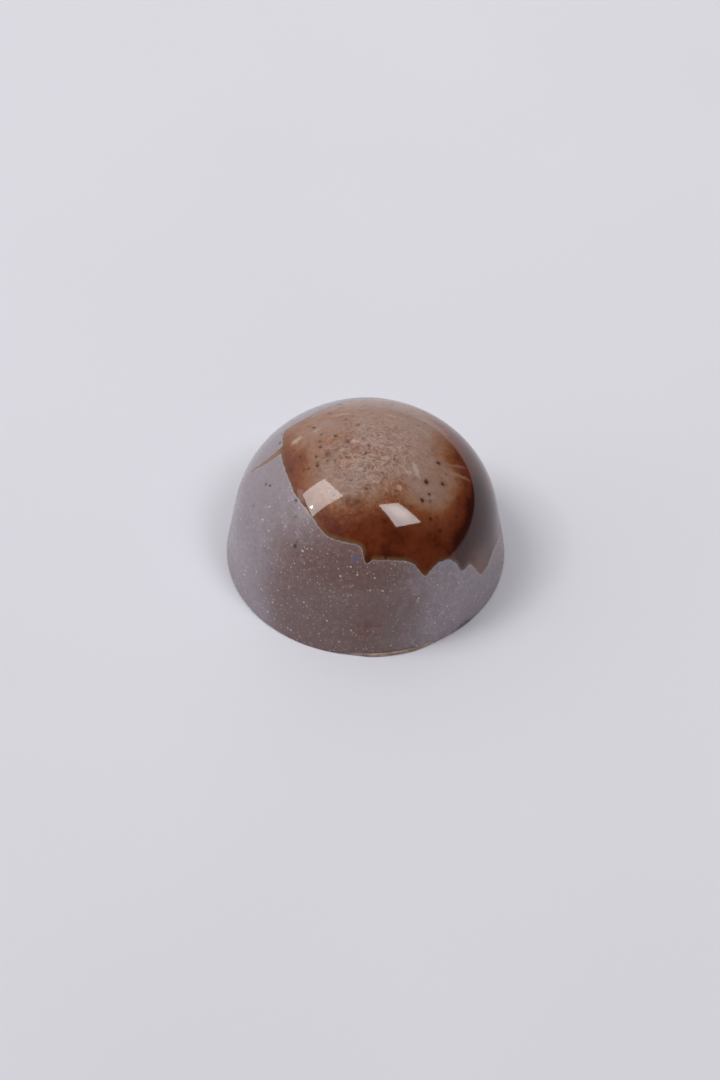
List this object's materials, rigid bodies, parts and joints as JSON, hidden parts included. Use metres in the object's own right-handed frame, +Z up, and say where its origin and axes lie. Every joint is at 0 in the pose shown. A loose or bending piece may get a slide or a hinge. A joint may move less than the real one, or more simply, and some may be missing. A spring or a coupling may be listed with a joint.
{
  "type": "chocolate praline",
  "caption": "Moulded dome-shaped chocolate praline on a flat round foot, glossy, with a grey shimmer coat and a brown patch over the crown.",
  "frame": {"origin": "centre of the flat foot, at the height of the surface the praline stands on", "axes": "+Z up along the dome's axis towards the crown; -Y is the side seen in front, +X to its right"},
  "size_m": [0.03, 0.03, 0.0165],
  "materials": {
    "coloured_shell": "mirror-gloss tempered chocolate under coloured cocoa butter, grey with a brown crown",
    "plain_chocolate": "satin, scraped plain chocolate"
  },
  "bodies": {
    "root": {"moulded_dome": "coloured_shell", "closing_layer": "plain_chocolate"}
  },
  "joints": []
}
